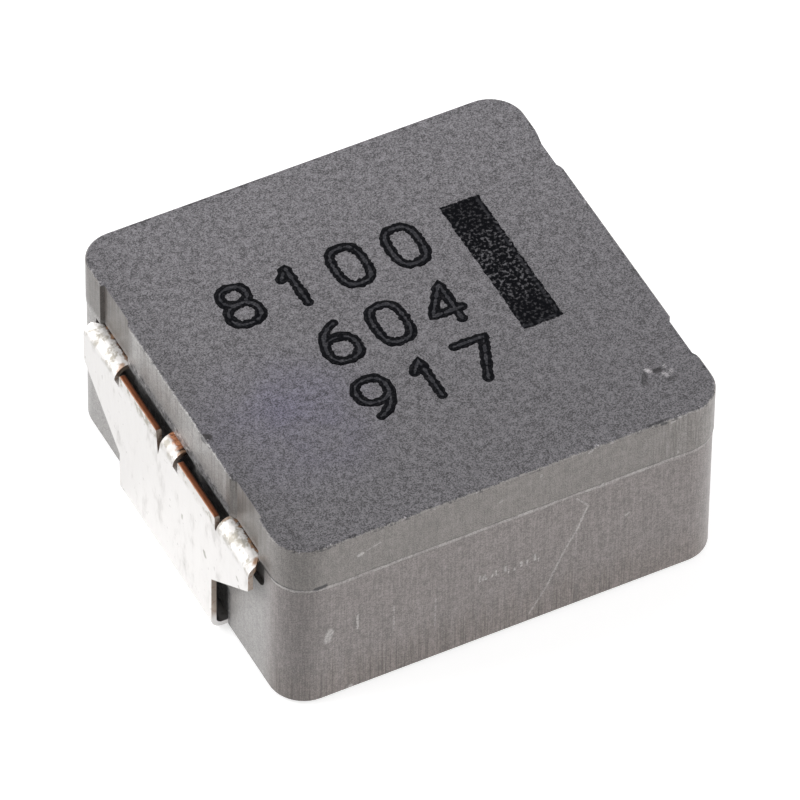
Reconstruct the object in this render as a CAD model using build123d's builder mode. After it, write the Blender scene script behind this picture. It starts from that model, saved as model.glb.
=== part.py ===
from build123d import *
import os

# Shielded surface-mount power inductor. Lengths are in millimetres.
# The origin is under the middle of the block, on the plane that the solder pads rest on.
# +X runs from the left terminal to the right one and +Z points up to the marked face.

os.makedirs("parts", exist_ok=True)

# Block, pressed from iron composite in a split die
body_length = 12.91
body_width = 12.6
body_height = 5.88
corner_radius = 1.0
edge_break = 0.05
parting_height = 4.38
parting_step = 0.02

# Shallow pockets in the upper band, above the outer legs of each terminal
pocket_inner = 3.0
pocket_outer = 4.65
pocket_depth = 0.114
sharp_ramp = 0.05
gentle_ramp = 0.2
soft_ramp = 0.6

# Terminal, blanked and bent from tinned copper strip
strip = 0.15
plate_gap = 0.25
wing_width = 9.7
wing_tip_radius = 0.15
tail_width = 5.44
low_shoulder = 1.4
high_shoulder = 1.85
shoulder_rise = 1.64
tail_bend = 0.25
stand_off = 0.1
pad_length = 2.5
pad_corner = 0.35

# Three legs of each terminal, bent over into the block at its parting line
leg_rise = 0.02
leg_bend = 0.33
leg_inner = 3.0
leg_depth = 1.25
middle_leg_width = 0.77
middle_leg_shift = -0.065

# Tongues of the plate that stand between the legs, and the slits beside the legs
tongue_rise = 0.09
tongue_radius = 0.12
narrow_slit = 0.08
wide_slit = 0.28
crack_width = 0.2
crack_height = 3.62

# Recesses pressed into the block for the terminals
recess_depth = 0.16
wing_clearance = 0.1
relief_height = 0.95
recess_corner = 0.35
tail_recess_height = 1.6
tail_clearance = 0.15
pad_clearance = 0.02

# Coil, wound on edge from flat enamelled wire
turns = 6
turn_pitch = 0.48
wire_thickness = 0.39
enamel = 0.02
riser_setback = 0.5
lead_bend = 0.3

# Levels and places that follow from the sizes above
end_x = body_length / 2
parting_z = stand_off + parting_height
plate_x = end_x + plate_gap + strip / 2
pad_end_x = end_x - pad_length
tongue_z = parting_z + tongue_rise
leg_z = parting_z + leg_rise - strip / 2
bend_z = leg_z - leg_bend
wing_half = wing_width / 2
tail_half = tail_width / 2
leg_width = wing_half - leg_inner
leg_centre = (wing_half + leg_inner) / 2
leg_end_x = end_x - pocket_depth - leg_depth
relief_width = wing_width + 2 * wing_clearance
middle_leg_low = middle_leg_shift - middle_leg_width / 2
middle_leg_high = middle_leg_shift + middle_leg_width / 2
coil_radius = leg_centre
wire_width = leg_width
high_lead_z = leg_z - strip / 2 - wire_thickness / 2
low_lead_z = high_lead_z - turns * turn_pitch
coil_foot_z = low_lead_z - wire_thickness / 2
coil_height = turns * turn_pitch + wire_thickness
riser_x = leg_end_x - riser_setback
lead_end_x = end_x - pocket_depth - leg_depth / 2

# Course of the strip from the pad round the tail to the top of the plate
with BuildLine() as strip_course:
    FilletPolyline(
        (-pad_end_x, strip / 2),
        (-plate_x, strip / 2),
        (-plate_x, tongue_z),
        radius=tail_bend,
    )

# Course of a leg from the plate over the bend into the block
with BuildLine() as leg_course:
    FilletPolyline(
        (-plate_x, bend_z - strip),
        (-plate_x, leg_z),
        (-leg_end_x, leg_z),
        radius=leg_bend,
    )

# Courses of the coil's two ends. The low end rises to the height of the legs.
with BuildLine() as lead_courses:
    FilletPolyline(
        (0, low_lead_z),
        (-riser_x, low_lead_z),
        (-riser_x, high_lead_z),
        (-lead_end_x, high_lead_z),
        radius=lead_bend,
    )
    Line((0, high_lead_z), (lead_end_x, high_lead_z))

# Legs of a terminal: one bent strip, cut to the three legs seen from above. The outer legs
# narrow from the wings' width to the pockets' width on their way into the block.
with BuildPart() as legs:
    with BuildSketch(Plane.XZ):
        trace(leg_course.line, line_width=strip)
    extrude(amount=wing_half, both=True)
    with BuildSketch(Plane.XY.offset(bend_z - 2 * strip)):
        for side in (-1, 1):
            with BuildLine():
                Polyline(
                    (-leg_end_x, side * leg_inner),
                    (-plate_x - strip, side * leg_inner),
                    (-plate_x - strip, side * wing_half),
                    (-plate_x + strip, side * wing_half),
                    (-end_x, side * pocket_outer),
                    (-leg_end_x, side * pocket_outer),
                    close=True,
                )
            make_face()
        with Locations((-leg_end_x, middle_leg_shift)):
            Rectangle(2 * (plate_x - leg_end_x + strip), middle_leg_width)
    extrude(amount=leg_z, mode=Mode.INTERSECT)

# Left terminal: plate, tail and pad as one folded strip, cut to the outline of the blank
with BuildPart() as terminal_left:
    with BuildSketch(Plane.XZ):
        trace(strip_course.line, line_width=strip)
    extrude(amount=wing_half, both=True)
    with BuildSketch(Plane.YZ.offset(-plate_x - strip)) as blank:
        with BuildLine():
            Polyline(
                (-tail_half, 0),
                (-tail_half, stand_off + high_shoulder),
                (-wing_half, stand_off + high_shoulder + shoulder_rise),
                (-wing_half, bend_z),
                (-leg_inner + narrow_slit, bend_z),
                (-leg_inner + narrow_slit, tongue_z),
                (middle_leg_low - wide_slit, tongue_z),
                (middle_leg_low - wide_slit, bend_z),
                (middle_leg_high, bend_z),
                (middle_leg_high + crack_width / 2, stand_off + crack_height),
                (middle_leg_high + crack_width, tongue_z),
                (leg_inner - wide_slit, tongue_z),
                (leg_inner - wide_slit, bend_z),
                (wing_half, bend_z),
                (wing_half, stand_off + low_shoulder + shoulder_rise),
                (tail_half, stand_off + low_shoulder),
                (tail_half, 0),
                close=True,
            )
        make_face()
        fillet(blank.vertices().group_by(Axis.Y)[-1], tongue_radius)
        fillet(blank.vertices().group_by(Axis.X)[0].sort_by(Axis.Y)[0], wing_tip_radius)
        fillet(blank.vertices().group_by(Axis.X)[-1].sort_by(Axis.Y)[0], wing_tip_radius)
    extrude(amount=plate_x, mode=Mode.INTERSECT)
    fillet(terminal_left.edges().filter_by(Axis.Z).group_by(Axis.X)[-1], pad_corner)
    add(legs.part)

# Right terminal: the same stamping, turned half round
with BuildPart() as terminal_right:
    add(terminal_left.part, rotation=(0, 0, 180))

# Turns of the coil: a rectangular section swept along a helix
with BuildPart() as coil_turns:
    with BuildLine(Plane.XY.offset(low_lead_z)):
        turn_course = Helix(turn_pitch, turns * turn_pitch, coil_radius)
    with BuildSketch(Plane.XZ):
        with Locations((coil_radius, low_lead_z)):
            Rectangle(wire_width, wire_thickness)
    sweep(path=turn_course, is_frenet=True)

# Winding: the turns with their two ends, which leave along one side of the coil
with BuildPart() as winding:
    add(coil_turns.part, rotation=(0, 0, -90))
    with BuildSketch(Plane.XZ.offset(coil_radius)):
        trace(lead_courses.line, line_width=wire_thickness)
    extrude(amount=wire_width / 2, both=True)

# The pockets' ramps on the side of each corner, by end and side. The die was less worn on
# the left end.
outer_ramps = {
    (-1, -1): sharp_ramp,
    (-1, 1): sharp_ramp,
    (1, -1): gentle_ramp,
    (1, 1): soft_ramp,
}

# Block: the part below the parting line with its recesses, then the band above it
with BuildPart() as core_body:
    with BuildSketch(Plane.XY.offset(stand_off)):
        RectangleRounded(
            body_length - 2 * parting_step, body_width - 2 * parting_step, corner_radius
        )
    extrude(amount=parting_height)
    chamfer(core_body.edges().group_by(Axis.Z)[0], edge_break)
    for end in (-1, 1):
        with BuildSketch(Plane.YZ.offset(end * (end_x - recess_depth))):
            with Locations((0, parting_z)):
                RectangleRounded(relief_width, 2 * relief_height, recess_corner)
            with Locations((0, stand_off)):
                RectangleRounded(
                    tail_width + 2 * tail_clearance, 2 * tail_recess_height, recess_corner
                )
        extrude(amount=end * recess_depth, mode=Mode.SUBTRACT)
    with BuildSketch(Plane.XY.offset(stand_off)):
        with Locations((-end_x, 0), (end_x, 0)):
            RectangleRounded(
                2 * (pad_length + tail_clearance),
                tail_width + 2 * tail_clearance,
                pad_corner + tail_clearance,
            )
    extrude(amount=strip - stand_off + pad_clearance, mode=Mode.SUBTRACT)
    with BuildSketch(Plane.XY.offset(parting_z)):
        RectangleRounded(body_length, body_width, corner_radius)
    extrude(amount=body_height - parting_height)
    chamfer(core_body.edges().group_by(Axis.Z)[-1], edge_break)
    with BuildSketch(Plane.XY.offset(parting_z)):
        for (end, side), outer_ramp in outer_ramps.items():
            with BuildLine():
                Polyline(
                    (end * end_x, side * pocket_inner),
                    (end * (end_x - pocket_depth), side * (pocket_inner + gentle_ramp)),
                    (end * (end_x - pocket_depth), side * (pocket_outer - outer_ramp)),
                    (end * end_x, side * pocket_outer),
                    close=True,
                )
            make_face()
    extrude(amount=body_height - parting_height, mode=Mode.SUBTRACT)
    with BuildSketch(Plane.XY.offset(coil_foot_z - enamel)):
        Circle(coil_radius + wire_width / 2 + enamel)
        Circle(coil_radius - wire_width / 2 - enamel, mode=Mode.SUBTRACT)
    extrude(amount=coil_height + 2 * enamel, mode=Mode.SUBTRACT)
    with BuildSketch(Plane.XZ.offset(coil_radius)):
        trace(lead_courses.line, line_width=wire_thickness + 2 * enamel)
    extrude(amount=wire_width / 2 + enamel, both=True, mode=Mode.SUBTRACT)
    add(terminal_left.part, mode=Mode.SUBTRACT)
    add(terminal_right.part, mode=Mode.SUBTRACT)

core_body.part.label = "core_body"
winding.part.label = "winding"
terminal_left.part.label = "terminal_left"
terminal_right.part.label = "terminal_right"

export_step(core_body.part, "parts/core_body.step")
export_step(winding.part, "parts/winding.step")
export_step(terminal_left.part, "parts/terminal_left.step")
export_step(terminal_right.part, "parts/terminal_right.step")
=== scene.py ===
# %% [markdown]
# # A pressed power inductor
#
# The part is a small block of pressed iron composite with a coil inside it and a clip of
# tinned copper bent round each end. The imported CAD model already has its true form, so this
# lesson is mostly about surfaces: a grainy top, burnished sides, bright tin with bare copper
# where the strip was cut, and ink on the marked face. Blender counts in metres, so most
# lengths here are written as millimetres times MM. Patterns and marks in a material count in
# plain millimetres, because its nodes get their place on the object already divided by MM.

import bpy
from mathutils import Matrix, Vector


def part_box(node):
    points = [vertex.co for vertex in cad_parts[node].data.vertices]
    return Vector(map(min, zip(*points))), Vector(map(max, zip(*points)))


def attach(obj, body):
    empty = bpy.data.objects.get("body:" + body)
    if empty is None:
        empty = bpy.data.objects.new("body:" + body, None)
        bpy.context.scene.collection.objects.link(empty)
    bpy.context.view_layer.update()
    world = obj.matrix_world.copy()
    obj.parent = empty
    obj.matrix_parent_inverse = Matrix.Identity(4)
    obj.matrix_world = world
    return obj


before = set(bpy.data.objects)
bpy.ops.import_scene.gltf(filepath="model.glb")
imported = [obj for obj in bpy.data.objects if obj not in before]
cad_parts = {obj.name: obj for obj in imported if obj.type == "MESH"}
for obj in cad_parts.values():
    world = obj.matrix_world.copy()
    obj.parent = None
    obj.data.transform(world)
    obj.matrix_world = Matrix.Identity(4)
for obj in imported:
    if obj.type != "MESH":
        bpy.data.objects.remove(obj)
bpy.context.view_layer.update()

# %% Measure the pieces
import math
import random
import bpy
from mathutils import Matrix, Vector

MM = 0.001
block_low, block_high = map(Vector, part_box("core_body"))
clip_low, clip_high = map(Vector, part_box("terminal_left"))
print("block", block_low, block_high)
print("left terminal", clip_low, clip_high)

# %% [markdown]
# ## The camera
#
# A camera could be placed by hand until the picture looks right. Here its place is worked out
# from angles, because a long lens far away is easier to read as "28 degrees round to the left,
# 47 degrees up" than as three coordinates. The lens is very long, so the block's edges stay
# almost parallel, as on a catalogue picture.

# %% Work out where the camera stands
TURN = math.radians(-27.845)
CLIMB = math.radians(47.178)
ROLL = math.radians(0.976)
DISTANCE = 302.85 * MM
OFFSET_RIGHT = 0.095 * MM
OFFSET_UP = 1.917 * MM

aim = Vector((0, 0, block_low.z))
back = Vector((
    math.sin(TURN) * math.cos(CLIMB),
    -math.cos(TURN) * math.cos(CLIMB),
    math.sin(CLIMB),
))
level = Vector((math.cos(TURN), math.sin(TURN), 0))
upright = back.cross(level)
right = level * math.cos(ROLL) + upright * math.sin(ROLL)
up = upright * math.cos(ROLL) - level * math.sin(ROLL)
stand = aim + right * OFFSET_RIGHT + up * OFFSET_UP + back * DISTANCE
print("camera stands at", stand)

# %% Add the camera
SENSOR = 36.0
LENS = 512.29

bpy.ops.object.camera_add()
camera = bpy.context.object
camera.name = "camera"
camera.matrix_world = Matrix.Translation(stand) @ Matrix((right, up, back)).transposed().to_4x4()
camera.data.sensor_width = SENSOR
camera.data.lens = LENS
camera.data.clip_start = DISTANCE / 100
bpy.context.scene.camera = camera
print("camera looks along", -back)

# %% [markdown]
# ## A small kit for shader nodes
#
# A procedural finish is a chain of nodes. Written out in full, each node takes five lines, so
# a few helpers do the repeated work. The first ones add a node, fill its inputs and hand back
# one output, so that a chain reads like a sum. The last ones start a material with its
# Principled shader and its place in millimetres, and dent its surface.

# %% Nodes for numbers
def add(tree, kind, inputs=(), output=0, **settings):
    """Adds a node, fills its inputs with values or other nodes' outputs, returns one output."""
    node = tree.nodes.new(kind)
    for name, value in settings.items():
        setattr(node, name, value)
    for key, value in dict(inputs).items():
        if isinstance(value, bpy.types.NodeSocket):
            tree.links.new(value, node.inputs[key])
        else:
            node.inputs[key].default_value = value
    return node.outputs[output]


def sums(tree, operation, first, second=0.0, third=0.0):
    """A Math node, such as ADD, MULTIPLY or MAXIMUM."""
    return add(tree, "ShaderNodeMath", {0: first, 1: second, 2: third}, operation=operation)


def both(tree, *amounts):
    """The product of several amounts, so that all of them have to hold."""
    product = amounts[0]
    for amount in amounts[1:]:
        product = sums(tree, "MULTIPLY", product, amount)
    return product


def ease(tree, value, low, high, from_low=0.0, to_high=1.0):
    """A soft step: from_low up to low, to_high from high on. It never goes past the two."""
    return add(
        tree, "ShaderNodeMapRange",
        {"Value": value, "From Min": low, "From Max": high, "To Min": from_low, "To Max": to_high},
        interpolation_type="SMOOTHSTEP", clamp=False,
    )


def between(tree, value, rise, full, fall, end):
    """0 outside rise and end, 1 from full to fall, with soft flanks."""
    return both(tree, ease(tree, value, rise, full), ease(tree, value, fall, end, 1.0, 0.0))


# %% Nodes for places and colours
def vectors(tree, operation, first, second=(0, 0, 0), output=0):
    """A Vector Math node. LENGTH, DISTANCE and DOT_PRODUCT answer on output 1."""
    return add(tree, "ShaderNodeVectorMath", {0: first, 1: second}, output, operation=operation)


def scaled(tree, vector, factor):
    """A vector or colour times one number."""
    return add(tree, "ShaderNodeVectorMath", {0: vector, "Scale": factor}, operation="SCALE")


def coordinates(tree, vector):
    """The three coordinates of a vector, each as a number."""
    split = add(tree, "ShaderNodeSeparateXYZ", {0: vector}).node
    return split.outputs[0], split.outputs[1], split.outputs[2]


def paint(tree, amount, under, over):
    """Covers one colour with another by an amount from 0 to 1."""
    return add(tree, "ShaderNodeMix", {0: amount, 6: under, 7: over}, 2, data_type="RGBA")


# %% Patterns
NOISE_SPAN = (0.3, 0.7)


def noise(tree, place, scale, detail=2.0, roughness=0.5):
    """Cloudy noise of about scale lumps per millimetre. It lies mostly inside NOISE_SPAN."""
    return add(
        tree, "ShaderNodeTexNoise",
        {"Vector": place, "Scale": scale, "Detail": detail, "Roughness": roughness},
    )


def drawn_noise(tree, place, lumps, detail=2.0, roughness=0.5):
    """Noise with its own number of lumps per millimetre along X, Y and Z, so it makes lines."""
    return noise(tree, vectors(tree, "MULTIPLY", place, lumps), 1, detail, roughness)


# %% The start of a material
def new_finish(name):
    """Starts a material and returns it with its tree, its shader and the place in millimetres."""
    material = bpy.data.materials.new(name)
    material.use_nodes = True
    tree = material.node_tree
    shader = tree.nodes["Principled BSDF"]
    place = scaled(tree, add(tree, "ShaderNodeTexCoord", output=3), 1 / MM)
    return material, tree, shader, place


def set_bump(tree, shader, height, strength, depth):
    """Dents the surface by a height from 0 to 1, depth metres deep."""
    normal = add(tree, "ShaderNodeBump", {"Strength": strength, "Distance": depth, "Height": height})
    tree.links.new(normal, shader.inputs["Normal"])


# %% [markdown]
# ## Scratches and flecks
#
# Handling leaves a block like this with small marks. They could be painted on an image, but a
# mark is simple enough for nodes: the distance from a point to a straight line between two
# places. Where the distance is small the mark shows, and a little noise makes its border
# ragged. A list of lines in millimetres is then all that a new scratch needs.

# %% Marks as lines
MARK_CORE = 0.4
MARK_RAGGED = 0.07
MARK_LUMPS = 14


def near_line(tree, place, start, end, half, wobble):
    """1 close to a straight line between two places, 0 from half a width away."""
    start, along = Vector(start), Vector(end) - Vector(start)
    offset = vectors(tree, "SUBTRACT", place, start)
    gap = offset
    if along.length:
        travel = vectors(tree, "DOT_PRODUCT", offset, along / along.length_squared, 1)
        share = sums(tree, "MAXIMUM", sums(tree, "MINIMUM", travel, 1.0), 0.0)
        gap = vectors(tree, "SUBTRACT", offset, scaled(tree, along, share))
    gap = sums(tree, "ADD", vectors(tree, "LENGTH", gap, output=1), wobble)
    return ease(tree, gap, MARK_CORE * half, half, 1.0, 0.0)


def scored(tree, place, lines):
    """How strongly any of several marks shows. A line is start, end, half width, strength."""
    ragged = sums(tree, "MULTIPLY", noise(tree, place, MARK_LUMPS), MARK_RAGGED)
    wobble = sums(tree, "SUBTRACT", ragged, MARK_RAGGED / 2)
    total = None
    for start, end, half, strength in lines:
        mark = sums(tree, "MULTIPLY", near_line(tree, place, start, end, half, wobble), strength)
        total = mark if total is None else sums(tree, "MAXIMUM", total, mark)
    return total


# %% [markdown]
# ## The block's top
#
# The top is the raw pressed face: dark grey, darker along the left end and a breath bluer in one
# place near it. It is also paler towards the back, and that is painted light: the sheen that
# light from behind lays on the top. A dent near one corner is a handful of dark and pale marks.
# It could be cut into the mesh, but a CAD part's mesh is never changed, and at this size its
# light and shade are all that the eye finds.

# %% Tones and marks of the top
TOP_Z = block_high.z / MM
TOP_TONE = (0.150, 0.144, 0.154, 1)
TOP_BLUE = (0.142, 0.134, 0.178, 1)
TOP_DARK = (0.022, 0.020, 0.022, 1)
TOP_PALE = (0.42, 0.40, 0.41, 1)
BLUE_MIDDLE = (-4.2, -1.9, TOP_Z)
BLUE_REACH = 3.4

# Painted shade and painted highlights of the dent; the last mark of DENT_SHADE is painted shade in a
# small chip at the left edge.
DENT_SHADE = (
    ((5.27, -4.60, TOP_Z), (5.18, -4.58, TOP_Z), 0.13, 0.9),
    ((4.86, -4.58, TOP_Z), (4.70, -4.86, TOP_Z), 0.10, 0.65),
    ((5.62, -4.98, TOP_Z), (5.30, -5.00, TOP_Z), 0.09, 0.35),
    ((-6.42, -1.42, TOP_Z), (-6.34, -1.48, TOP_Z), 0.17, 1.0),
)
DENT_GLINT = (
    ((5.03, -4.55, TOP_Z), (4.98, -4.47, TOP_Z), 0.09, 0.65),
    ((5.38, -4.86, TOP_Z), (5.34, -4.78, TOP_Z), 0.09, 0.5),
    ((5.52, -4.81, TOP_Z), (5.56, -4.74, TOP_Z), 0.08, 0.4),
    ((5.47, -4.57, TOP_Z), (5.47, -4.52, TOP_Z), 0.07, 0.35),
)
print(len(DENT_SHADE), "dark and", len(DENT_GLINT), "pale marks on the top")

# %% Colour of the top
# Two places along an axis, and the brightness at each. Front to back it is painted light, the sheen
# from behind.
PAINTED_SHEEN_FRONT_TO_BACK = (-6, 6, 0.84, 1.10)
END_TO_MIDDLE = (-6.4, -5.0, 0.87, 1.02)


def top_colour(tree, place):
    """The pressed face with its bluer place, its painted sheen towards the back, a darker left end
    and its dent.
    """
    cloud = noise(tree, place, 0.5, 3, 0.55)
    reach = vectors(tree, "DISTANCE", place, BLUE_MIDDLE, 1)
    blue = both(
        tree,
        ease(tree, reach, 0, BLUE_REACH, 1.0, 0.0),
        ease(tree, cloud, *NOISE_SPAN, 0.3, 1.0),
    )
    tone = paint(tree, blue, TOP_TONE, TOP_BLUE)
    x, y, z = coordinates(tree, place)
    # Painted light: paler towards the back for the sheen from behind, and darker along the left end.
    light = both(tree, ease(tree, y, *PAINTED_SHEEN_FRONT_TO_BACK), ease(tree, x, *END_TO_MIDDLE))
    tone = scaled(tree, tone, light)
    tone = paint(tree, scored(tree, place, DENT_SHADE), tone, TOP_DARK)
    return paint(tree, scored(tree, place, DENT_GLINT), tone, TOP_PALE)


# %% [markdown]
# ## The block's sides
#
# The sides rubbed along the die as the block was pushed out, so they are lighter and smoother
# than the top, with fine lines from top to bottom. Noise that is drawn out along Z gives such
# lines, and three of them with different widths look less regular than one. The lines are
# darkest at the foot, and at the right end of the band above the parting line.

# %% Tones of the sides
TONGUE_RISE = 0.09
PARTING_Z = clip_high.z / MM - TONGUE_RISE
SIDE_TONE = (0.205, 0.183, 0.177, 1)
BAND_TONE = (0.198, 0.182, 0.172, 1)
SIDE_DARK = (0.085, 0.077, 0.072, 1)
SIDE_BROWN = (0.200, 0.168, 0.150, 1)
STREAK_TONE = (0.060, 0.048, 0.040, 1)
SIDE_PALE = (0.46, 0.44, 0.43, 1)
print("parting line at", PARTING_Z, "mm")

# %% Streaks at the foot
WIDE_LINES = (4, 4, 0.1)
STREAKS = (21, 21, 0.25)
FOOT = (1.5, 3.0, 1.0, 0.0)
FOOT_RAGGED = 2.4
STREAK_STEP = (0.50, 0.62)
STREAKS_FADE = (2.5, 4.5, 1.0, 0.3)
BROWN_SHARE = 0.4
STREAK_SHARE = 0.6


def foot_streaks(tree, place, tone):
    """Brown towards the foot, with dark upright streaks on the brown."""
    x, y, z = coordinates(tree, place)
    streaks = drawn_noise(tree, place, STREAKS, 2, 0.7)
    uneven = drawn_noise(tree, place, WIDE_LINES, 3, 0.7)
    level = sums(tree, "MULTIPLY_ADD", uneven, FOOT_RAGGED, z)
    foot = ease(tree, level, *FOOT)
    low = both(tree, foot, ease(tree, streaks, *STREAK_STEP), ease(tree, x, *STREAKS_FADE))
    tone = paint(tree, sums(tree, "MULTIPLY", foot, BROWN_SHARE), tone, SIDE_BROWN)
    return paint(tree, sums(tree, "MULTIPLY", low, STREAK_SHARE), tone, STREAK_TONE)


# %% Colour of the sides
BAND_FROM = (PARTING_Z - 0.02, PARTING_Z)
FINE_LINES = (24, 24, 0.9)
FINE_SHADE = (0.34, 0.66, 0.88, 1.12)
RUBBED_BAND = (3.2, 4.7, 0.1, 0.8)
DARK_STEP = (0.48, 0.64)
DARK_LINE_SHARE = 0.65
PALE_STEP = (0.50, 0.36)
PALE_LINE_SHARE = 0.3
CORNER_SHADE_FADE = (-5.9, -4.9)
WALL_SHADE = 0.92
BAND_SHADE = 0.85


def side_colour(tree, place):
    """Warm grey with upright lines, and painted shade where the left corner turns away from the
    lamps.
    """
    x, y, z = coordinates(tree, place)
    band = ease(tree, z, *BAND_FROM)
    tone = foot_streaks(tree, place, paint(tree, band, SIDE_TONE, BAND_TONE))
    fine = drawn_noise(tree, place, FINE_LINES, 2, 0.6)
    rubbed = both(tree, band, ease(tree, x, *RUBBED_BAND))
    dark = both(tree, rubbed, ease(tree, fine, *DARK_STEP))
    tone = paint(tree, sums(tree, "MULTIPLY", dark, DARK_LINE_SHARE), tone, SIDE_DARK)
    pale = both(tree, rubbed, ease(tree, fine, *PALE_STEP))
    tone = paint(tree, sums(tree, "MULTIPLY", pale, PALE_LINE_SHARE), tone, SIDE_PALE)
    # Painted shade towards the left corner, which turns away from the lamps.
    shade = ease(tree, band, 0, 1, WALL_SHADE, BAND_SHADE)
    corner_shade = ease(tree, x, *CORNER_SHADE_FADE, shade, 1.0)
    return scaled(tree, tone, both(tree, ease(tree, fine, *FINE_SHADE), corner_shade))


# %% [markdown]
# ## The parting line
#
# The die split a little below the top, and its halves left a small step at the joint. The thin
# dark line along it is painted shadow of that step, and the pale edge under it a painted
# highlight. Both are bands of height, but a ruled line would look printed. A slow noise lifts
# and lowers them a little, and a second one makes the dark line strong where the pale edge is
# weak.

# %% Colour of the parting line
# Four heights each, counted from the parting line: where it starts, is full, fades and ends.
PARTING_SHADOW_LINE = (-0.04, -0.015, 0.015, 0.035)
PARTING_HIGHLIGHT_EDGE = (-0.15, -0.11, -0.05, -0.02)
LINE_WANDER = 0.12
# Two values of a noise, and how strong the line or the edge is at each.
SHADOW_LINE_PATCHES = (0.38, 0.60, 0.25, 0.85)
HIGHLIGHT_EDGE_PATCHES = (0.3, 0.6, 0.68, 0.30)


def parting_colour(tree, place, tone):
    """Painted shadow along the step of the die's joint, and a painted highlight on the pale edge
    under it.
    """
    height = coordinates(tree, place)[2]
    patchy = noise(tree, place, 1.3, 3, 0.6)
    wander = sums(tree, "MULTIPLY", noise(tree, place, 1.5, 3), LINE_WANDER)
    level = sums(tree, "ADD", height, sums(tree, "SUBTRACT", wander, LINE_WANDER / 2))
    # Painted shadow of the step at the joint, and a painted highlight on the edge below it.
    shade = both(
        tree,
        between(tree, level, *(PARTING_Z + z for z in PARTING_SHADOW_LINE)),
        ease(tree, patchy, *SHADOW_LINE_PATCHES),
    )
    edge = both(
        tree,
        between(tree, level, *(PARTING_Z + z for z in PARTING_HIGHLIGHT_EDGE)),
        ease(tree, patchy, *HIGHLIGHT_EDGE_PATCHES),
    )
    return paint(tree, shade, paint(tree, edge, tone, SIDE_PALE), SIDE_DARK)


# %% [markdown]
# ## Wear on the front and the corners
#
# The front has one long scratch, a row of small ticks and a few chips along the parting line.
# They go into lists: pale marks where metal grains were laid bare, dark ones where the surface
# broke, and dark ones round the corners. The row of ticks is a loop with a fixed seed, so it
# is the same each time.

# %% A long scratch and a row of ticks
SCRATCH = ((2.35, 3.80), (2.06, 3.03), (1.70, 2.39), (1.15, 1.14), (0.69, 0.41))
SCRATCH_HALF = 0.05
SCRATCH_FOOT = 0.28
SCRATCH_GAIN = 0.08
TICKS = 11
TICKS_FROM = -0.80
TICKS_TO = 0.95
TICKS_Z = 2.40
TICK_SHIFT = 0.05
TICK_FOOT = (-0.08, 0.04)
TICK_LENGTH = (0.05, 0.22)
TICK_HALF = (0.035, 0.06)
TICK_STRENGTH = 0.8

chance = random.Random(11)
pale_marks = [
    (start, end, SCRATCH_HALF, SCRATCH_FOOT + SCRATCH_GAIN * start[1])
    for start, end in zip(SCRATCH, SCRATCH[1:])
]
for tick in range(TICKS):
    x = TICKS_FROM + (TICKS_TO - TICKS_FROM) * tick / (TICKS - 1)
    x += chance.uniform(-TICK_SHIFT, TICK_SHIFT)
    foot = TICKS_Z + chance.uniform(*TICK_FOOT)
    top = foot + chance.uniform(*TICK_LENGTH)
    pale_marks.append(((x, foot), (x, top), chance.uniform(*TICK_HALF), TICK_STRENGTH))
print(len(pale_marks), "marks of the scratch and the ticks")

# %% Single marks on the front
# Each is a pair of places as x and z, a half width and a strength.
pale_marks += [
    ((-4.38, 5.20), (-4.28, 5.24), 0.07, 0.75),
    ((-4.15, 5.28), (-3.75, 5.40), 0.035, 0.35),
    ((-5.26, 2.32), (-5.18, 2.62), 0.15, 0.60),
    ((-5.30, 2.50), (-5.10, 2.56), 0.05, 0.85),
    ((-4.38, 2.35), (-4.38, 2.85), 0.05, 0.65),
    ((-3.32, 1.84), (-3.32, 2.69), 0.04, 0.40),
    ((-2.10, 1.35), (-2.10, 2.38), 0.04, 0.38),
    ((-0.72, 2.42), (-0.66, 2.56), 0.06, 0.50),
    ((2.02, 4.22), (2.33, 3.84), 0.045, 0.45),
    ((2.04, 2.08), (2.04, 3.17), 0.035, 0.22),
    ((2.82, 2.14), (2.82, 2.66), 0.03, 0.20),
    ((3.50, 2.86), (3.58, 2.92), 0.06, 0.50),
    ((2.76, 4.42), (2.78, 4.45), 0.06, 0.60),
    ((4.98, 4.58), (4.98, 4.62), 0.05, 0.50),
    ((0.93, 5.64), (0.93, 5.68), 0.05, 0.45),
    ((-0.27, 5.22), (-0.22, 5.26), 0.05, 0.35),
    ((1.00, 4.34), (1.41, 4.44), 0.06, 0.32),
    ((-4.62, 0.18), (-4.54, 0.22), 0.07, 0.60),
    ((4.77, 5.86), (4.85, 5.88), 0.07, 0.55),
    ((2.33, 5.86), (2.42, 5.88), 0.05, 0.50),
]
dark_marks = [
    ((-5.62, 4.47), (-5.36, 4.50), 0.11, 1.0),
    ((-5.42, 0.24), (-5.42, 1.15), 0.035, 0.35),
    ((-4.63, 0.32), (-4.63, 1.36), 0.035, 0.32),
    ((-3.80, 0.38), (-3.80, 1.30), 0.035, 0.22),
    ((-1.88, 0.32), (-1.88, 1.67), 0.06, 0.20),
    ((-0.93, 0.45), (-0.93, 1.37), 0.04, 0.20),
    ((2.08, 0.35), (2.08, 0.80), 0.09, 0.25),
    ((2.80, 0.24), (2.80, 0.95), 0.04, 0.35),
    ((5.49, 0.55), (5.49, 4.20), 0.05, 0.10),
    ((4.47, 5.92), (4.58, 5.91), 0.07, 0.95),
]
print(len(pale_marks), "pale and", len(dark_marks), "dark marks on the front")

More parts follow.
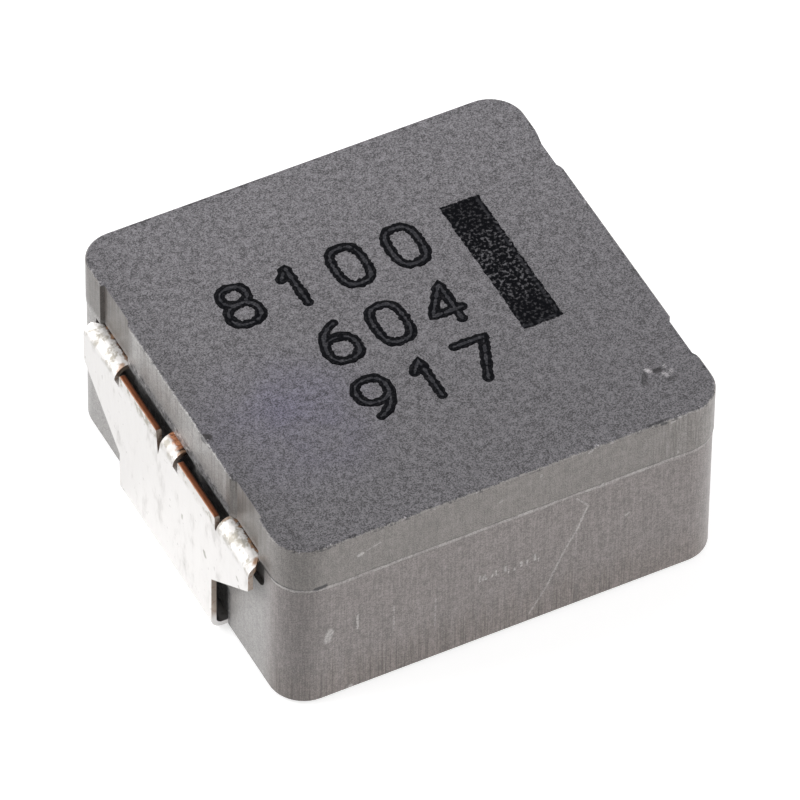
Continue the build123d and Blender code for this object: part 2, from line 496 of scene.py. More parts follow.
# %% Dark marks round the corners
# The marks along the parting line round the corners are painted shadow of its step, and the one at
# the top's left edge is painted shade in a small chip.
corner_marks = [
    ((-6.45, -4.85, 4.44), (-6.45, -5.30, 4.46), 0.10, 1.0),
    ((-6.45, -5.30, 4.46), (-6.39, -5.62, 4.47), 0.075, 0.95),
    ((-6.39, -5.62, 4.47), (-6.23, -5.93, 4.48), 0.055, 0.8),
    ((-6.23, -5.93, 4.48), (-6.00, -6.14, 4.48), 0.045, 0.5),
    ((-6.45, -1.40, 5.88), (-6.45, -1.50, 5.93), 0.12, 1.0),
    ((6.10, -6.06, 4.48), (6.39, -5.62, 4.50), 0.06, 0.8),
    ((6.44, -5.45, 4.55), (6.455, -5.20, 4.95), 0.08, 0.9),
]
FRONT = block_low.y / MM


def on_front(marks):
    """The marks of the front with all three coordinates of their places."""
    return [((x0, FRONT, z0), (x1, FRONT, z1), *rest) for (x0, z0), (x1, z1), *rest in marks]


print(len(corner_marks), "marks round the corners")

# %% [markdown]
# ## The end walls
#
# The ends are the palest faces of the block, with fine upright lines, and they are duller
# above the outer legs. Round the near corners the pale end gives way sooner, as painted shade
# where the corner turns away from the lamps. Between the legs the wall lies in the shade of the
# strip's gap, so it is painted dark and crumbly there, as painted shade. That zone is bounded by
# height and by the distance from the middle of the end, and a noise breaks its border up.

# %% Tones of the ends
END_X = block_high.x / MM
END_PALE = (0.285, 0.277, 0.272, 1)
END_DULL = (0.098, 0.090, 0.084, 1)
# The zone between the legs is painted shade, dark with pale crumbs.
SHADE_ZONE_TONE = (0.200, 0.196, 0.200, 1)
SHADE_ZONE_BLACK = (0.026, 0.025, 0.026, 1)
print("end walls at", END_X, "mm")

# %% Colour of the ends
END_SKIN = (END_X - 0.35, END_X - 0.1)
NEAR_CORNER_SHADE = (-5.6, -4.55)
ABOVE_LEGS = (PARTING_Z, PARTING_Z + 0.3)
ASIDE = (2.5, 3.2)
END_LINES = (1, 11, 0.4)
LINE_STEP = (0.46, 0.58)
PALE_SHARE = 0.8
DULL_SHARE = 0.7
LINE_SHARES = (0.40, 0.9)
LINE_RISE = (PARTING_Z, TOP_Z, 0.25, 1.0)


def end_skin(tree, place):
    """1 on the end walls, fading round the corners, and sooner round the near ones as painted shade.
    """
    x = coordinates(tree, vectors(tree, "ABSOLUTE", place))[0]
    # Painted shade: the pale end gives way sooner round the near corners, which turn from the lamps.
    near_corner_shade = ease(tree, coordinates(tree, place)[1], *NEAR_CORNER_SHADE)
    return both(tree, ease(tree, x, *END_SKIN), near_corner_shade)


def end_colour(tree, place, tone):
    """A pale, finely lined end, duller and more strongly lined above the outer legs."""
    at_end = end_skin(tree, place)
    x, y, z = coordinates(tree, vectors(tree, "ABSOLUTE", place))
    lines = drawn_noise(tree, place, END_LINES, 2, 0.6)
    aside = both(tree, ease(tree, z, *ABOVE_LEGS), ease(tree, y, *ASIDE))
    tone = paint(tree, both(tree, at_end, ease(tree, aside, 0, 1, PALE_SHARE, 0.0)), tone, END_PALE)
    tone = paint(tree, both(tree, at_end, ease(tree, aside, 0, 1, 0.0, DULL_SHARE)), tone, END_DULL)
    lined = both(
        tree, at_end,
        ease(tree, z, *LINE_RISE),
        ease(tree, lines, *LINE_STEP),
        ease(tree, aside, 0, 1, *LINE_SHARES),
    )
    return paint(tree, lined, tone, STREAK_TONE)


# %% Painted shade between the legs
ZONE_HALF = (2.9, 3.05)
ZONE_TOP = (PARTING_Z + 0.46, PARTING_Z + 0.58)
ZONE_RAGGED = 0.35
CRUMB_STEP = (0.35, 0.55)
PALE_GRAINS = (0.56, 0.64, 0.0, 0.8)


def shaded_wall_zone(tree, place, tone):
    """Painted shade on the wall between the legs, where the strip's gap shades it, crumbly and with
    some pale grains.
    """
    at_end = end_skin(tree, place)
    x, y, z = coordinates(tree, vectors(tree, "ABSOLUTE", place))
    broken = sums(tree, "MULTIPLY", noise(tree, place, 5, 4, 0.7), ZONE_RAGGED)
    painted_shade_zone = both(
        tree, at_end,
        ease(tree, sums(tree, "ADD", z, broken), *ZONE_TOP, 1.0, 0.0),
        ease(tree, y, *ZONE_HALF, 1.0, 0.0),
    )
    crumbs = ease(tree, noise(tree, place, 12, 3, 0.7), *CRUMB_STEP)
    rough = paint(tree, crumbs, SHADE_ZONE_BLACK, SHADE_ZONE_TONE)
    grains = ease(tree, noise(tree, place, 8, 3), *PALE_GRAINS)
    return paint(tree, painted_shade_zone, tone, paint(tree, grains, rough, SIDE_PALE))


# %% [markdown]
# ## Putting the block together
#
# Two separate materials would need the faces split between them. One material that asks how
# high and how far in a point lies does the same, and lets the border between the dark top and
# the pale sides be ragged, as a broken edge is. The grain is two noises that make the colour
# lighter and darker, because a bump alone would vanish in soft light.

# %% Edge of the top
CORNER = 1.0
EDGE = 0.05
BORDER_RAGGED = 0.12
TOP_FROM = (TOP_Z - EDGE - 0.005, TOP_Z - EDGE + 0.02)
INSET_FROM = (-0.05, -0.02)
CHIPPED_REACH = (0.07, 0.13, 1.0, 0.0)
CHIPPED_FROM = (TOP_Z - 0.12, TOP_Z - 0.07)


def from_edge(tree, place):
    """How far a point lies inside the block's outline, up to the corner's radius, in mm."""
    half = (block_high - block_low) / 2 / MM
    folded = vectors(tree, "ABSOLUTE", place)
    beyond = vectors(tree, "SUBTRACT", folded, (half.x - CORNER, half.y - CORNER, 0))
    flat = vectors(tree, "MULTIPLY", vectors(tree, "MAXIMUM", beyond), (1, 1, 0))
    return sums(tree, "SUBTRACT", CORNER, vectors(tree, "LENGTH", flat, output=1))


def top_mask(tree, place, crumbs):
    """1 on the top, with a ragged border on the broken edge round it."""
    height = coordinates(tree, place)[2]
    ragged = sums(tree, "MULTIPLY", crumbs, BORDER_RAGGED)
    inset = sums(tree, "SUBTRACT", from_edge(tree, place), ragged)
    return both(tree, ease(tree, height, *TOP_FROM), ease(tree, inset, *INSET_FROM))


def edge_mask(tree, place):
    """1 along the top's edge, where it chipped."""
    return both(
        tree,
        ease(tree, from_edge(tree, place), *CHIPPED_REACH),
        ease(tree, coordinates(tree, place)[2], *CHIPPED_FROM),
    )


# %% Grain of the block
GRAIN = 27
LUMPS = 4.5
LUMPS_SHARE = 0.25
GRAIN_SPAN = (0.36, 0.64)
TOP_GRAIN = (0.30, 1.70)
SIDE_GRAIN = (0.66, 1.34)


def grain_shade(tree, place, grain, is_top):
    """How much the grain dims or lifts the colour, more on the top than on the sides."""
    lumps = noise(tree, place, LUMPS, 3, 0.6)
    fine_part = sums(tree, "MULTIPLY", grain, 1 - LUMPS_SHARE)
    mixed = sums(tree, "MULTIPLY_ADD", lumps, LUMPS_SHARE, fine_part)
    strong = ease(tree, mixed, *GRAIN_SPAN, *TOP_GRAIN)
    weak = ease(tree, mixed, *GRAIN_SPAN, *SIDE_GRAIN)
    return add(tree, "ShaderNodeMix", {0: is_top, 2: weak, 3: strong})


# %% Colour of the block
CHIP_STEP = (0.55, 0.60)
CHIP_SHARE = 0.8
GLINT_STEP = (0.60, 0.66)
GLINT_SHARE = 0.6


def block_colour(tree, place, is_top):
    """The sides with all their marks, the top, and the chips along its edge with painted glints."""
    on_edge = edge_mask(tree, place)
    chips = both(tree, on_edge, ease(tree, noise(tree, place, 3.1, 4, 0.7), *CHIP_STEP))
    # Painted highlights: glints on the chipped edge.
    glints = both(tree, on_edge, ease(tree, noise(tree, place, 4.7, 4, 0.7), *GLINT_STEP))
    side = parting_colour(tree, place, side_colour(tree, place))
    side = shaded_wall_zone(tree, place, end_colour(tree, place, side))
    side = paint(tree, scored(tree, place, on_front(pale_marks)), side, SIDE_PALE)
    side = paint(tree, scored(tree, place, on_front(dark_marks) + corner_marks), side, TOP_DARK)
    colour = paint(tree, is_top, side, top_colour(tree, place))
    colour = paint(tree, sums(tree, "MULTIPLY", chips, CHIP_SHARE), colour, TOP_DARK)
    return paint(tree, sums(tree, "MULTIPLY", glints, GLINT_SHARE), colour, TOP_PALE)


# %% Finish of the block
SIDE_ROUGHNESS = 0.34
TOP_ROUGHNESS = 0.8
GRAIN_DEPTH = 0.012 * MM


def composite_finish():
    """Pressed iron composite, from the grainy top to the burnished sides."""
    material, tree, shader, place = new_finish("pressed_composite")
    crumbs = noise(tree, place, 8, 4, 0.65)
    is_top = top_mask(tree, place, crumbs)
    colour = block_colour(tree, place, is_top)
    grain = noise(tree, place, GRAIN, 2, 0.7)
    shade = grain_shade(tree, place, grain, is_top)
    tree.links.new(scaled(tree, colour, shade), shader.inputs["Base Color"])
    rough = ease(tree, is_top, 0, 1, SIDE_ROUGHNESS, TOP_ROUGHNESS)
    tree.links.new(rough, shader.inputs["Roughness"])
    set_bump(tree, shader, sums(tree, "ADD", grain, crumbs), 0.25, GRAIN_DEPTH)
    return material


composite = composite_finish()
print(composite.name, "has", len(composite.node_tree.nodes), "nodes")

# %% [markdown]
# ## Tin, and copper where the strip was cut
#
# The strip is tinned before it is blanked, so its faces are bright and its cut edges are bare
# metal. The plates' faces look along X and the cut edges along Y, so the direction in which
# the surface looks tells them apart. Only the tops of the tongues, which are cut edges too,
# look upwards, and they stand higher than the legs.

# %% Tones of the strip
TIN_TONE = (0.71, 0.695, 0.685, 1)
TIN_GREY = (0.40, 0.385, 0.37, 1)
TIN_OLIVE = (0.16, 0.145, 0.10, 1)
TIN_STAIN = (0.32, 0.30, 0.26, 1)
LEG_BROWN = (0.26, 0.16, 0.10, 1)
EDGE_TONE = (0.42, 0.36, 0.31, 1)
COPPER_PALE = (0.42, 0.20, 0.11, 1)
COPPER_TONE = (0.19, 0.062, 0.026, 1)
COPPER_DARK = (0.028, 0.011, 0.006, 1)

# %% Copper on the tongues
STRIP = 0.15
PLATE_X = -clip_low.x / MM
TONGUE_INNER = (PLATE_X - STRIP * 0.9, PLATE_X - STRIP * 0.4, 1.0, 0.0)
TONGUE_RIM = (PLATE_X - 0.03, PLATE_X + 0.02)
TONGUE_RAGGED = 0.03
print("plates' outer faces at", PLATE_X, "mm")


def tongue_copper(tree, x, worn):
    """Copper on a tongue's top: dark towards the wall, with a pale outer rim."""
    across = sums(tree, "ADD", x, sums(tree, "MULTIPLY", worn, TONGUE_RAGGED))
    inner = ease(tree, across, *TONGUE_INNER)
    rim = ease(tree, across, *TONGUE_RIM)
    return paint(tree, inner, paint(tree, rim, COPPER_TONE, COPPER_PALE), COPPER_DARK)


# %% Bare metal on the cut edges
LEG_TOP = PARTING_Z + 0.02
ON_TONGUE = (LEG_TOP + 0.015, LEG_TOP + 0.04)
ABOVE_PAD = (0.3, 0.7)
LOOKS_ASIDE = (0.3, 0.6)
WORN_EDGE = (0.5, 0.75, 0.0, 0.7)


def cut_edges(tree, place, tin):
    """Bare metal on the edges that look along Y, and copper on the tongues' tops."""
    x, y, z = coordinates(tree, vectors(tree, "ABSOLUTE", place))
    facing = add(tree, "ShaderNodeNewGeometry", output=1)
    aside = coordinates(tree, vectors(tree, "ABSOLUTE", facing))[1]
    worn = noise(tree, place, 7, 3, 0.6)
    edge = paint(tree, ease(tree, worn, *WORN_EDGE), EDGE_TONE, COPPER_TONE)
    is_edge = both(tree, ease(tree, aside, *LOOKS_ASIDE), ease(tree, z, *ABOVE_PAD))
    metal = paint(tree, is_edge, tin, edge)
    return paint(tree, ease(tree, z, *ON_TONGUE), metal, tongue_copper(tree, x, worn))


# %% [markdown]
# ## Legs that were bent and rubbed
#
# The legs were pressed over into the block, so the tin on their bends is crumpled and stained,
# and it rubbed through where the outer legs meet the wall and on the end of the middle one.
# Each of these places is a range of coordinates, with a noise added so that no border is
# straight.

# %% Copper on the legs
POCKET_DEPTH = 0.114
WALL_X = END_X - POCKET_DEPTH
LEG_RAGGED = 0.34
OUTER_RUBBED = (WALL_X + 0.20, WALL_X + 0.27, 1.0, 0.0)
MIDDLE_RUBBED = (END_X + 0.28, END_X + 0.38, 1.0, 0.0)
OUTER_LEGS = (2.90, 2.95)
MIDDLE_LEG = (0.6, 0.7, 1.0, 0.0)
BEND_TOP = (LEG_TOP - 0.3, LEG_TOP - 0.15)
LEG_SHADOW = (-0.34, -0.24, 1.0, 0.0)
BROWN_TO_DARK = (0.40, 0.55)
PALE_TO_COPPER = (0.4, 0.6)


def worn_legs(tree, place, metal):
    """Copper where the outer legs meet the wall, and where the middle leg's bend rubbed, with
    painted shadow on its near side.
    """
    x, y, z = coordinates(tree, vectors(tree, "ABSOLUTE", place))
    along = coordinates(tree, place)[1]
    worn = noise(tree, place, 6, 4, 0.65)
    near_wall = sums(tree, "ADD", x, sums(tree, "MULTIPLY", worn, LEG_RAGGED))
    high = ease(tree, z, *BEND_TOP)
    outer = both(tree, high, ease(tree, near_wall, *OUTER_RUBBED), ease(tree, y, *OUTER_LEGS))
    middle = both(tree, high, ease(tree, near_wall, *MIDDLE_RUBBED), ease(tree, y, *MIDDLE_LEG))
    tone = paint(tree, ease(tree, worn, *BROWN_TO_DARK), LEG_BROWN, COPPER_DARK)
    metal = paint(tree, outer, metal, tone)
    glow = paint(tree, ease(tree, worn, *PALE_TO_COPPER), COPPER_PALE, COPPER_TONE)
    # Painted shadow: the middle leg's copper is dark on its near side.
    glow = paint(tree, ease(tree, along, *LEG_SHADOW), glow, COPPER_DARK)
    return paint(tree, middle, metal, glow)


# %% Specks on the tin
BARE_SPOTS = (
    ((-6.52, -4.71, 4.48), (-6.60, -4.80, 4.28), 0.16, 0.95),
    ((-6.70, 2.98, 4.45), (-6.60, 3.06, 4.49), 0.12, 0.8),
    ((-6.74, 3.00, 4.25), (-6.72, 3.02, 4.40), 0.08, 0.7),
    ((-6.66, -2.98, 4.46), (-6.52, -3.02, 4.49), 0.10, 0.7),
    ((-6.66, -0.44, 4.44), (-6.52, -0.44, 4.49), 0.10, 0.7),
)
TIN_SPECKS = (
    ((-6.86, -2.30, 2.60), (-6.86, -2.36, 2.50), 0.10, 0.6),
    ((-6.86, -1.00, 2.75), (-6.86, -1.00, 2.65), 0.07, 0.5),
    ((-6.70, -3.55, 4.42), (-6.66, -3.90, 4.42), 0.14, 0.5),
    ((-6.84, -4.20, 3.50), (-6.84, -4.25, 3.45), 0.07, 0.5),
    ((-6.84, -4.40, 3.20), (-6.84, -4.30, 3.25), 0.06, 0.45),
)
print(len(BARE_SPOTS), "bare spots and", len(TIN_SPECKS), "specks")

# %% Tin with its smears and stains
SMEAR_SHADE = (0.52, 0.70, 0.0, 0.45)
SPECK_SHADE = (0.68, 0.74, 0.0, 0.5)
LEG_DULL = (0.5, 0.8, 0.7, 0.35)
STAIN_STEP = (0.48, 0.60)
STAIN_SHARE = 0.85


def tin_colour(tree, place, smears, bent, crumpled):
    """Bright tin with smears and specks, duller and stained on the bends of the legs."""
    specks = noise(tree, place, 5, 2, 0.5)
    tin = paint(tree, ease(tree, smears, *SMEAR_SHADE), TIN_TONE, TIN_GREY)
    tin = paint(tree, ease(tree, specks, *SPECK_SHADE), tin, TIN_GREY)
    tin = paint(tree, scored(tree, place, TIN_SPECKS), tin, TIN_OLIVE)
    off_middle = coordinates(tree, vectors(tree, "ABSOLUTE", place))[1]
    dulled = both(tree, bent, ease(tree, off_middle, *LEG_DULL))
    tin = paint(tree, dulled, tin, TIN_GREY)
    stained = both(tree, bent, ease(tree, crumpled, *STAIN_STEP))
    return paint(tree, sums(tree, "MULTIPLY", stained, STAIN_SHARE), tin, TIN_STAIN)


# %% Finish of the terminals
SMEARS = (1.2, 1.6, 0.7)
BENT_FROM = (LEG_TOP - 0.45, LEG_TOP - 0.15)
CRUMPLE = 2.5
CRUMPLE_DEPTH = 0.03 * MM
# The tin's roughness where it is smeared least and most, and what a bend adds to it.
TIN_ROUGHNESS = (0.30, 0.45)
BENT_ROUGHNESS = 0.25


def tinned_finish():
    """Tinned copper strip, with all that was cut, bent or rubbed."""
    material, tree, shader, place = new_finish("tinned_copper")
    smears = drawn_noise(tree, place, SMEARS, 4, 0.6)
    bent = ease(tree, coordinates(tree, place)[2], *BENT_FROM)
    crumpled = noise(tree, place, 3.4, 4, 0.65)
    tin = tin_colour(tree, place, smears, bent, crumpled)
    metal = worn_legs(tree, place, cut_edges(tree, place, tin))
    metal = paint(tree, scored(tree, place, BARE_SPOTS), metal, LEG_BROWN)
    tree.links.new(metal, shader.inputs["Base Color"])
    shader.inputs["Metallic"].default_value = 0.85
    smeared = ease(tree, smears, *NOISE_SPAN, *TIN_ROUGHNESS)
    rough = sums(tree, "MULTIPLY_ADD", bent, BENT_ROUGHNESS, smeared)
    tree.links.new(rough, shader.inputs["Roughness"])
    dents = sums(tree, "MULTIPLY_ADD", both(tree, bent, crumpled), CRUMPLE, smears)
    set_bump(tree, shader, dents, 0.6, CRUMPLE_DEPTH)
    return material


tinned = tinned_finish()
print(tinned.name, "has", len(tinned.node_tree.nodes), "nodes")

# %% [markdown]
# ## Enamelled wire
#
# The coil is shut inside the block and shows in no view, but it still gets its own finish for
# whoever opens the model: copper with fine drawing lines, under a clear coat.

# %% Finish of the coil
WIRE_TONE = (0.45, 0.17, 0.07, 1)
WIRE_LINES = (0.5, 0.5, 6)


def wire_finish():
    """Copper wire under its enamel."""
    material, tree, shader, place = new_finish("enamelled_wire")
    lines = drawn_noise(tree, place, WIRE_LINES, 3)
    tree.links.new(paint(tree, lines, WIRE_TONE, COPPER_TONE), shader.inputs["Base Color"])
    shader.inputs["Metallic"].default_value = 0.9
    shader.inputs["Roughness"].default_value = 0.35
    shader.inputs["Coat Weight"].default_value = 0.6
    set_bump(tree, shader, lines, 0.1, 0.01 * MM)
    return material


# %% [markdown]
# ## Dressing the pieces
#
# Each CAD piece comes with slots for its materials. The finishes could be given piece by
# piece, but a table of names and finishes shows at a glance that both terminals share one.
# Only the slots are filled, so the meshes stay as they came.

# %% Dress the CAD pieces
for node, finish in {
    "core_body": composite,
    "winding": wire_finish(),
    "terminal_left": tinned,
    "terminal_right": tinned,
}.items():
    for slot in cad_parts[node].material_slots:
        slot.material = finish
    print(node, "wears", finish.name)

# %% [markdown]
# ## Ink on the top
#
# The marks were burnt or printed dot by dot, so their lines have a black rim, a paler middle
# and slightly ragged sides. Text from a font would give neither. Each numeral is drawn as a
# line with a thickness instead: a curve with a bevel, pressed flat. A wide black line goes
# down first and a narrow grey one lies on it. The numerals are plain ones.

# %% Finishes of the ink
INK_BLACK = (0.0030, 0.0032, 0.0045, 1)
INK_GREY = (0.034, 0.034, 0.039, 1)
INK_WORN = (0.135, 0.132, 0.142, 1)
INK_DEPTH = 0.01 * MM
RUBBED_INK = (0.48, 0.66)


def set_ink(tree, shader, colour, height):
    """Gives a shader the colour and the dull, uneven surface of ink."""
    tree.links.new(colour, shader.inputs["Base Color"])
    shader.inputs["Roughness"].default_value = 0.9
    shader.inputs["Specular IOR Level"].default_value = 0.05
    set_bump(tree, shader, height, 0.4, INK_DEPTH)


def ink_finish(name, tone, worn):
    """Ink whose grain lets some of the grey through, up to the share worn."""
    material, tree, shader, place = new_finish(name)
    grain = noise(tree, place, 16, 3, 0.7)
    shown = ease(tree, grain, *RUBBED_INK, 0.0, worn)
    set_ink(tree, shader, paint(tree, shown, tone, INK_WORN), grain)
    return material


ink_black = ink_finish("ink_black", INK_BLACK, 0.12)
ink_grey = ink_finish("ink_grey", INK_GREY, 0.5)
print("inks", ink_black.name, ink_grey.name)

# %% Strokes of the numerals
def arc(middle, reach, start, end, steps=20, square=1.0):
    """Points on part of an ellipse, in shares of a numeral. Below 1, square fills its corners."""
    points = []
    for step in range(steps + 1):
        angle = math.radians(start + (end - start) * step / steps)
        across, along = math.cos(angle), math.sin(angle)
        across = math.copysign(abs(across) ** square, across)
        along = math.copysign(abs(along) ** square, along)
        points.append((middle[0] + reach[0] * across, middle[1] + reach[1] * along))
    return points


NUMERALS = {
    "0": [arc((0.5, 0.5), (0.5, 0.5), 0, 360, 40, 0.7)],
    "1": [[(0.22, 0.74), (0.55, 1.0), (0.55, 0.0)]],
    "4": [[(0.78, 0.0), (0.78, 1.0), (0.0, 0.28), (1.0, 0.28)]],
    "6": [
        arc((0.5, 0.31), (0.5, 0.31), 0, 360, 30, 0.85),
        arc((0.95, 0.3), (0.95, 0.7), 178, 105, 12),
    ],
    "7": [[(0.0, 1.0), (1.0, 1.0), (0.35, 0.0)]],
    "8": [
        arc((0.5, 0.27), (0.5, 0.27), 0, 360, 30, 0.85),
        arc((0.5, 0.77), (0.42, 0.23), 0, 360, 30, 0.85),
    ],
    "9": [
        arc((0.5, 0.69), (0.5, 0.31), 0, 360, 30, 0.85),
        arc((0.05, 0.7), (0.95, 0.7), -2, -75, 12),
    ],
}
print(len(NUMERALS), "numerals drawn")

# %% Places of the numerals
# Each row is its numerals, the left side and the foot of the first one, and their spacing.
ROWS = (("8100", -3.93, 1.66, 1.63), ("604", -2.20, -0.66, 1.53), ("917", -2.20, -2.86, 1.53))
NUMERAL_WIDTH = 0.86 * MM
NUMERAL_HEIGHT = 1.38 * MM


def numeral_lines():
    """All strokes of all rows as lists of points in the top face."""
    lines = []
    for word, start, base, pitch in ROWS:
        for number, numeral in enumerate(word):
            corner = Vector((start + number * pitch, base, 0)) * MM
            for stroke in NUMERALS[numeral]:
                lines.append([
                    corner + Vector((x * NUMERAL_WIDTH, y * NUMERAL_HEIGHT, 0)) for x, y in stroke
                ])
    return lines


print(len(numeral_lines()), "strokes")

# %% Beads along a stroke
BEAD = 0.075 * MM
END_SHARES = (0.5, 0.85, 0.98)


def finely(points, step):
    """The same line with a point at least every step."""
    fine = []
    for start, end in zip(points, points[1:]):
        parts = max(1, round((end - start).length / step))
        fine += [start.lerp(end, n / parts) for n in range(parts)]
    return fine + [points[-1]]


def round_end(tip, before, half):
    """Three more points past a line's tip, with the widths that round it off."""
    ahead = (tip - before).normalized()
    return [(tip + ahead * half * s, math.sqrt(1 - s * s)) for s in END_SHARES]


def add_beads(curve, line, half, ragged, chance):
    """One stroke as a line of beads, closed in itself where its ends meet."""
    fine = finely(line, BEAD)
    closed = (fine[0] - fine[-1]).length < BEAD / 10
    if closed:
        fine.pop()
    beads = [(point, chance.uniform(1 - ragged, 1 + ragged)) for point in fine]
    if not closed:
        beads = round_end(fine[0], fine[1], half)[::-1] + beads
        beads += round_end(fine[-1], fine[-2], half)
    spline = curve.splines.new("POLY")
    spline.points.add(len(beads) - 1)
    spline.use_cyclic_u = closed
    for point, (where, width) in zip(spline.points, beads):
        point.co = (*where, 1)
        point.radius = width


# %% Draw and press the numerals
STROKE = 0.155 * MM
STROKE_CORE = 0.056 * MM
INK_LIFT = 0.004 * MM
CORE_LIFT = INK_LIFT * 1.6


def beaded_curve(name, half, ragged, seed):
    """A curve object that holds every stroke as a round line of beads."""
    chance = random.Random(seed)
    curve = bpy.data.curves.new(name, "CURVE")
    curve.dimensions = "3D"
    curve.bevel_depth = half
    curve.bevel_resolution = 1
    curve.use_fill_caps = True
    for line in numeral_lines():
        add_beads(curve, line, half, ragged, chance)
    strokes = bpy.data.objects.new(name, curve)
    bpy.context.collection.objects.link(strokes)
    return strokes


def pressed_lines(name, half, lift, ragged, finish, seed):
    """Draws every stroke as a beaded line and presses it flat on the top face."""
    strokes = beaded_curve(name, half, ragged, seed)
    bpy.ops.object.select_all(action="DESELECT")
    strokes.select_set(True)
    bpy.context.view_layer.objects.active = strokes
    bpy.ops.object.convert(target="MESH")
    marks = bpy.context.object
    flat = Matrix.Diagonal((1, 1, lift / half, 1))
    marks.data.transform(Matrix.Translation((0, 0, block_high.z)) @ flat)
    marks.data.materials.clear()
    marks.data.materials.append(finish)
    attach(marks, "root")
    print(name, len(marks.data.polygons), "faces")


pressed_lines("numerals_rim", STROKE, INK_LIFT, ragged=0.20, finish=ink_black, seed=3)
pressed_lines("numerals_core", STROKE_CORE, CORE_LIFT, ragged=0.45, finish=ink_grey, seed=5)

# %% [markdown]
# ## The bar
#
# A black bar marks the end where the winding starts. It was filled line by line, so its middle
# is speckled, its edges are frayed, and a paler seam runs inside its right and lower edges,
# between the outline and the filling. Its shape is a fine grid with frayed edges, given a
# little thickness, and its own ink finish adds speckles and seam.

# %% Seams of the bar
BAR_LOW = Vector((2.81, -1.74))
BAR_HIGH = Vector((3.97, 3.15))
SEAM_IN = 0.10
SEAM_HALF = 0.045
SEAM_EDGE = (SEAM_HALF * 0.5, SEAM_HALF * 1.2, 1.0, 0.0)
SEAM_BROKEN = (0.35, 0.55)
SEAM_SHARE = 0.7


def seam(tree, gap):
    """1 on a thin line SEAM_IN inside an edge, from the distance to that edge."""
    off = sums(tree, "ABSOLUTE", sums(tree, "SUBTRACT", gap, SEAM_IN))
    return ease(tree, off, *SEAM_EDGE)


def bar_seams(tree, place):
    """Both seams, broken here and there."""
    x, y, z = coordinates(tree, place)
    right_seam = seam(tree, sums(tree, "SUBTRACT", BAR_HIGH.x, x))
    foot_seam = seam(tree, sums(tree, "SUBTRACT", y, BAR_LOW.y))
    broken = ease(tree, noise(tree, place, 5, 2), *SEAM_BROKEN)
    seams = both(tree, sums(tree, "MAXIMUM", right_seam, foot_seam), broken)
    return sums(tree, "MULTIPLY", seams, SEAM_SHARE)


# %% Finish of the bar
# Two distances from the bar's middle, and the share of the speckles that show at each.
CROWD = (0.4, 2.2, 1.0, 0.35)
SPECKLE_STEP = (0.50, 0.66)


def bar_finish():
    """Black ink with speckles that crowd towards the bar's middle, and the seams."""
    material, tree, shader, place = new_finish("ink_bar")
    middle = (BAR_LOW.y + BAR_HIGH.y) / 2
    off_middle = sums(tree, "SUBTRACT", coordinates(tree, place)[1], middle)
    crowd = ease(tree, sums(tree, "ABSOLUTE", off_middle), *CROWD)
    dots = noise(tree, place, 10, 3, 0.65)
    shown = sums(tree, "MULTIPLY", ease(tree, dots, *SPECKLE_STEP), crowd)
    colour = paint(tree, shown, INK_BLACK, INK_WORN)
    set_ink(tree, shader, paint(tree, bar_seams(tree, place), colour, INK_GREY), dots)
    return material


# %% Lay the bar's grid
BAR_CELLS = (16, 64)

bpy.ops.object.select_all(action="DESELECT")
bpy.ops.mesh.primitive_grid_add(
    x_subdivisions=BAR_CELLS[0],
    y_subdivisions=BAR_CELLS[1],
    size=1,
    location=(*((BAR_LOW + BAR_HIGH) / 2 * MM), block_high.z + INK_LIFT),
)
bar = bpy.context.object
bar.name = "polarity_bar"
bar.scale = (*((BAR_HIGH - BAR_LOW) * MM), 1)
bpy.ops.object.transform_apply(location=True, rotation=True, scale=True)
print("bar", bar.dimensions)

# %% Fray and thicken the bar
FRAY = 0.022

chance = random.Random(17)
for vertex in bar.data.vertices:
    inside = min(
        vertex.co.x - BAR_LOW.x * MM,
        BAR_HIGH.x * MM - vertex.co.x,
        vertex.co.y - BAR_LOW.y * MM,
        BAR_HIGH.y * MM - vertex.co.y,
    )
    if inside < FRAY * MM:
        vertex.co.x += chance.uniform(-FRAY, FRAY) * MM
        vertex.co.y += chance.uniform(-FRAY, FRAY) * MM
thicken = bar.modifiers.new("thickness", "SOLIDIFY")
thicken.thickness = 2 * INK_LIFT
thicken.offset = -1
bpy.ops.object.modifier_apply(modifier=thicken.name)
bar.data.materials.append(bar_finish())
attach(bar, "root")
print("polarity_bar", len(bar.data.polygons), "faces")

# %% [markdown]
# ## Floor, light and background
#
# A catalogue picture is lit from all round by white cloth. Large soft lamps stand in for it:
# a strong one behind on the left, which makes the end of the block its brightest side, and
# another on the right in front. The corner between them faces neither and stays darker, and
# the block's finish paints more shade on it. Floor and background are white because they show
# white to the camera, not because more light falls on the object, and the floor keeps the
# block's shadow.

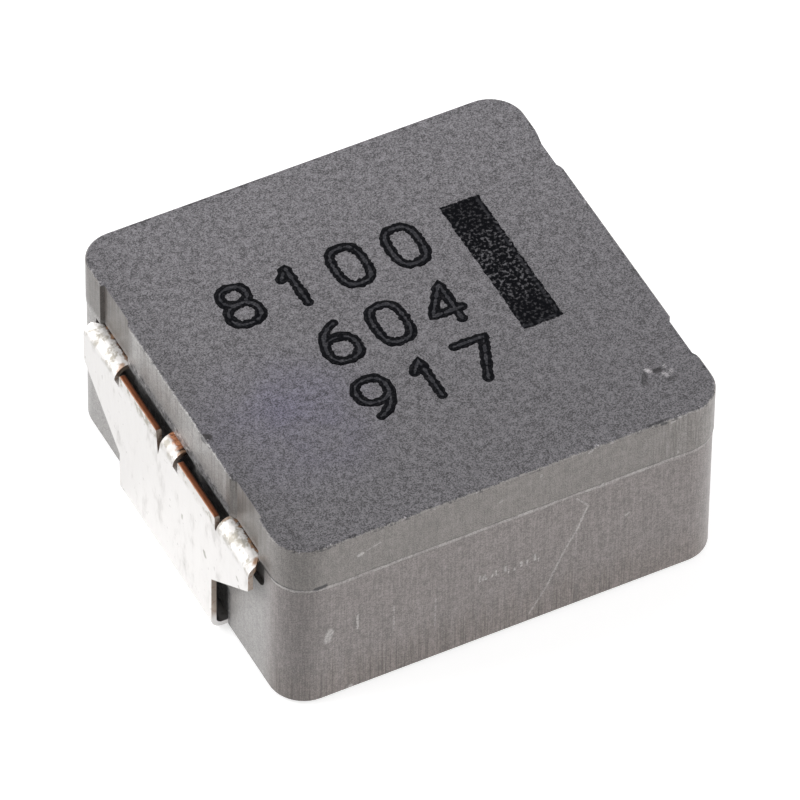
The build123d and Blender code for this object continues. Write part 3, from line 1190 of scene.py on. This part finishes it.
# %% White for the camera alone
def seen_directly(tree):
    """1 for rays that show the background: to the camera, in a reflection or through glass."""
    path = tree.nodes.new("ShaderNodeLightPath")
    shown = sums(tree, "MAXIMUM", path.outputs["Is Camera Ray"], path.outputs["Is Glossy Ray"])
    return sums(tree, "MAXIMUM", shown, path.outputs["Is Transmission Ray"])


# %% Floor
FLOOR_SIZE = 2.0
FLOOR_TONE = (0.66, 0.66, 0.66, 1)
FLOOR_FIBRE = (0.68, 0.68, 0.68, 1)
FLOOR_GLOW = 0.62

bpy.ops.object.select_all(action="DESELECT")
bpy.ops.mesh.primitive_plane_add(size=FLOOR_SIZE, location=(0, 0, 0))
floor = bpy.context.object
floor.name = "floor"

paper, tree, shader, place = new_finish("paper_floor")
fibres = noise(tree, place, 0.05, 3)
tree.links.new(paint(tree, fibres, FLOOR_TONE, FLOOR_FIBRE), shader.inputs["Base Color"])
shader.inputs["Roughness"].default_value = 0.9
shader.inputs["Emission Color"].default_value = (1, 1, 1, 1)
glow = sums(tree, "MULTIPLY", seen_directly(tree), FLOOR_GLOW)
tree.links.new(glow, shader.inputs["Emission Strength"])
floor.data.materials.append(paper)
print("floor", floor.dimensions)

# %% Lamps
LAMP_AIM = Vector((0, 0, 0.003))


def soft_lamp(name, place, size, power):
    """A square lamp that looks at the block."""
    bpy.ops.object.light_add(type="AREA", location=place)
    lamp = bpy.context.object
    lamp.name = name
    lamp.data.size = size
    lamp.data.energy = power
    lamp.rotation_euler = (LAMP_AIM - Vector(place)).to_track_quat("-Z", "Y").to_euler()
    print(name, power, "W")


soft_lamp("left_softbox", (-0.17, 0.11, 0.10), size=0.18, power=0.53)
soft_lamp("right_softbox", (0.16, -0.15, 0.09), size=0.20, power=0.50)
soft_lamp("top_softbox", (0.02, 0.10, 0.22), size=0.18, power=0.04)

# %% World
SKY_LEVEL = 0.25

world = bpy.data.worlds.new("white_tent")
bpy.context.scene.world = world
world.use_nodes = True
tree = world.node_tree
strength = ease(tree, seen_directly(tree), 0, 1, SKY_LEVEL, 1.0)
tree.links.new(strength, tree.nodes["Background"].inputs["Strength"])
tree.nodes["Background"].inputs["Color"].default_value = (1, 1, 1, 1)
bpy.context.scene.view_settings.view_transform = "Standard"
print("world", world.name)
